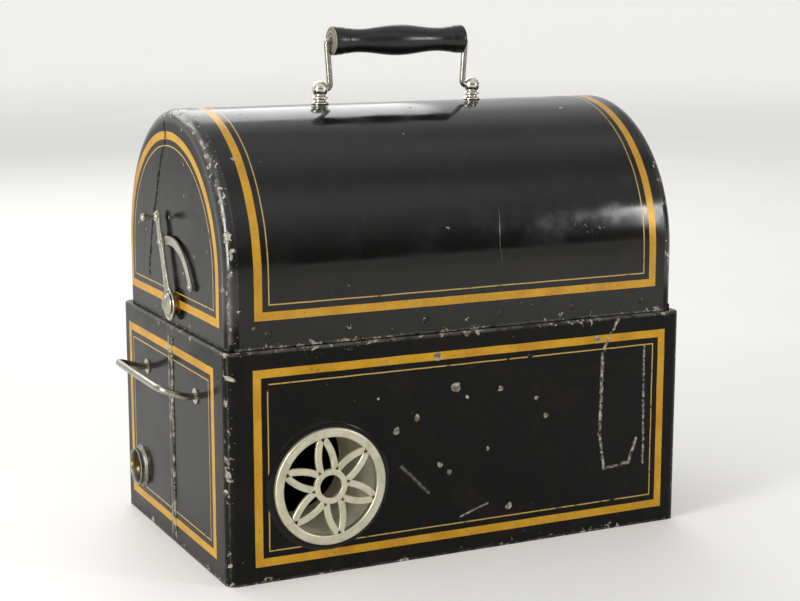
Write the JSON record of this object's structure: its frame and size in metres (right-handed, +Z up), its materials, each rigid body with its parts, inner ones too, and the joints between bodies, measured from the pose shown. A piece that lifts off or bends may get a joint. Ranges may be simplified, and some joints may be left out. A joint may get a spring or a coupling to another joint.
{
  "type": "magic lantern",
  "caption": "Portable projection lantern in a black japanned metal case: box base with pierced ventilator, lift-off domed cover with carrying handle and end latches, lantern on a bed board inside",
  "frame": {"origin": "middle of the underside of the base, on the surface it stands on", "axes": "+X along the case towards the objective end, +Y towards the back, +Z up"},
  "size_m": [0.3896, 0.223, 0.36],
  "materials": {
    "japan": "gloss black japan with gold lining, chipped at the edges",
    "nickel": "old nickel plate, warm and slightly dull",
    "steel": "drawn steel wire and sheet, aged",
    "brass": "lacquered brass, browned",
    "cream": "matt cream lacquer inside the air duct",
    "grip_wood": "turned hardwood, gloss black",
    "board_wood": "oiled mahogany",
    "moulding": "black moulded insulator",
    "porcelain": "white glazed lamp socket",
    "glass": "clear ground glass",
    "mirror": "silvered reflector",
    "iron": "varnished iron laminations",
    "winding": "varnished cotton-covered winding"
  },
  "bodies": {
    "base": {"base_shell": "japan", "base_bottom": "japan", "seam_strip": "japan", "bed_board": "board_wood", "board_cleats": "steel", "board_screws": "brass", "vent_bezel": "japan", "vent_duct": "cream", "vent_rosette": "nickel", "inlet_shroud": "nickel", "inlet_block": "moulding", "inlet_pins": "brass", "rod_ferrules": "steel", "rod_guide": "steel", "latch_keepers": "steel", "transformer_core": "iron", "transformer_coil": "winding", "transformer_straps": "steel", "lamp_house": "japan", "house_cowl": "japan", "lamp_track": "steel", "condenser_barrel": "brass", "condenser_lenses": "glass", "condenser_ring": "brass", "stage_frame": "brass", "lens_pillar": "steel", "focus_sleeve": "brass"},
    "rod": {"draw_rod": "steel", "rod_stops": "brass"},
    "lamp": {"lamp_carriage": "brass", "lamp_socket": "porcelain", "lamp_bulb": "glass", "reflector": "mirror"},
    "carrier": {"slide_carrier": "board_wood", "picture_glass": "glass"},
    "objective": {"objective_barrel": "brass", "objective_lenses": "glass", "focus_rack": "brass"},
    "pinion": {"focus_pinion": "brass", "focus_knob": "brass"},
    "cover": {"cover_barrel": "japan", "cover_end_left": "japan", "cover_end_right": "japan", "cover_strips": "steel", "cover_rivets": "japan", "latch_quadrants": "nickel", "quadrant_studs": "nickel", "latch_bushes": "brass", "handle_posts": "nickel", "post_nuts": "steel"},
    "latch_left": {"latch_lever_left": "nickel", "latch_knob_left": "nickel", "latch_shaft_left": "nickel", "latch_hook_left": "steel"},
    "latch_right": {"latch_lever_right": "nickel", "latch_knob_right": "nickel", "latch_shaft_right": "nickel", "latch_hook_right": "steel"},
    "handle": {"handle_wire": "steel"},
    "grip": {"handle_grip": "grip_wood"}
  },
  "joints": [
    {"name": "cover_lift", "type": "slide", "parent": "base", "child": "cover", "axis": [0, 0, 1], "range_m": [0, 0.2]},
    {"name": "latch_left_turn", "type": "hinge", "parent": "cover", "child": "latch_left", "pos_m": [-0.1705, 0, 0.171], "axis": [1, 0, 0], "range_deg": [0, 75]},
    {"name": "latch_right_turn", "type": "hinge", "parent": "cover", "child": "latch_right", "pos_m": [0.1705, 0, 0.171], "axis": [1, 0, 0], "range_deg": [0, 75]},
    {"name": "handle_swing", "type": "hinge", "parent": "cover", "child": "handle", "pos_m": [0, 0, 0.3155], "axis": [1, 0, 0], "range_deg": [-92, 92]},
    {"name": "grip_spin", "type": "hinge", "parent": "handle", "child": "grip", "pos_m": [0, 0, 0.349], "axis": [1, 0, 0], "continuous": true},
    {"name": "rod_draw", "type": "slide", "parent": "base", "child": "rod", "axis": [-1, 0, 0], "range_m": [0, 0.06]},
    {"name": "lamp_slide", "type": "slide", "parent": "base", "child": "lamp", "axis": [1, 0, 0], "range_m": [-0.008, 0.008]},
    {"name": "carrier_slide", "type": "slide", "parent": "base", "child": "carrier", "axis": [0, 1, 0], "range_m": [-0.026, 0.026]},
    {"name": "focus_slide", "type": "slide", "parent": "base", "child": "objective", "axis": [1, 0, 0], "range_m": [-0.012, 0.012]},
    {"name": "pinion_turn", "type": "hinge", "parent": "base", "child": "pinion", "pos_m": [0.043, 0, 0.1813], "axis": [0, 1, 0], "range_deg": [-125, 125]}
  ],
  "couplings": [
    {"joint": "pinion_turn", "follows": "focus_slide", "rad_per_m": 178.57}
  ]
}
